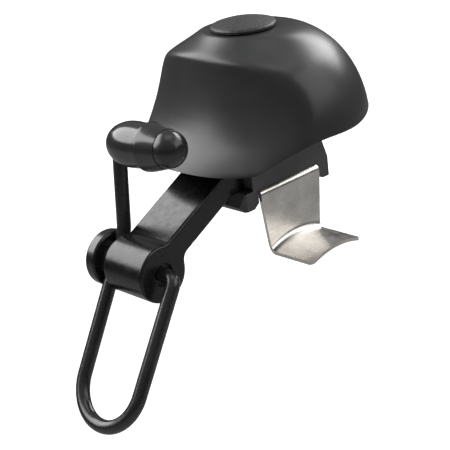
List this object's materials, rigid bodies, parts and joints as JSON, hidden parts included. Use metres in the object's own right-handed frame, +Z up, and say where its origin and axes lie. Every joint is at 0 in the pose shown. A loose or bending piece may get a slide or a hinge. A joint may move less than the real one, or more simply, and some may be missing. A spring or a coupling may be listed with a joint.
{
  "type": "bicycle bell",
  "caption": "Bicycle bell with a helmet-shaped black dome, a spring-loaded striker worked by a wire pull loop, and a thin steel clip that slips under a brake-lever clamp.",
  "frame": {"origin": "where the crest of the clip's saddle, its underside, meets the outer face of the clip's upright plate", "axes": "+Z up, away from the handlebar and along the dome's axis; the handlebar and the striker's pivot run along Y, with the saddle lip reaching towards -Y; the arm reaches towards -X"},
  "size_m": [0.0629, 0.0394, 0.0582],
  "materials": {
    "dome": "satin black powder coat on aluminium",
    "cap": "finely stippled black plastic",
    "screw": "zinc-plated steel",
    "rubber": "matte black rubber",
    "post": "turned aluminium",
    "base": "matte dark grey moulded plastic",
    "arm": "gloss black moulding",
    "clip": "brushed stainless spring strip",
    "spring_steel": "dark oiled spring steel",
    "bush": "black acetal",
    "wire": "black coating on steel wire",
    "hammer": "gloss black paint on zinc",
    "nose": "black nylon tip",
    "hub": "gloss black moulding"
  },
  "bodies": {
    "bell": {"dome": "dome", "cap": "cap", "dome_screw": "screw", "dome_washer": "screw", "dome_isolator": "rubber", "post": "post", "base": "base", "arm": "arm", "clip": "clip", "clip_bolt": "screw", "bolt_washer": "screw", "lock_washer": "spring_steel", "pivot_bush_near": "bush", "pivot_bush_far": "bush", "return_spring": "spring_steel"},
    "striker": {"striker_wire": "wire", "hammer": "hammer", "hammer_nose": "nose", "pivot_hub": "hub", "thrust_washer": "bush"}
  },
  "joints": [
    {"name": "striker_pivot", "type": "hinge", "parent": "bell", "child": "striker", "pos_m": [-0.02797, 0, 0.00301], "axis": [0, 1, 0], "range_deg": [-35, 15], "stiffness_Nm_per_rad": 0.12, "deforming": ["return_spring"]}
  ]
}
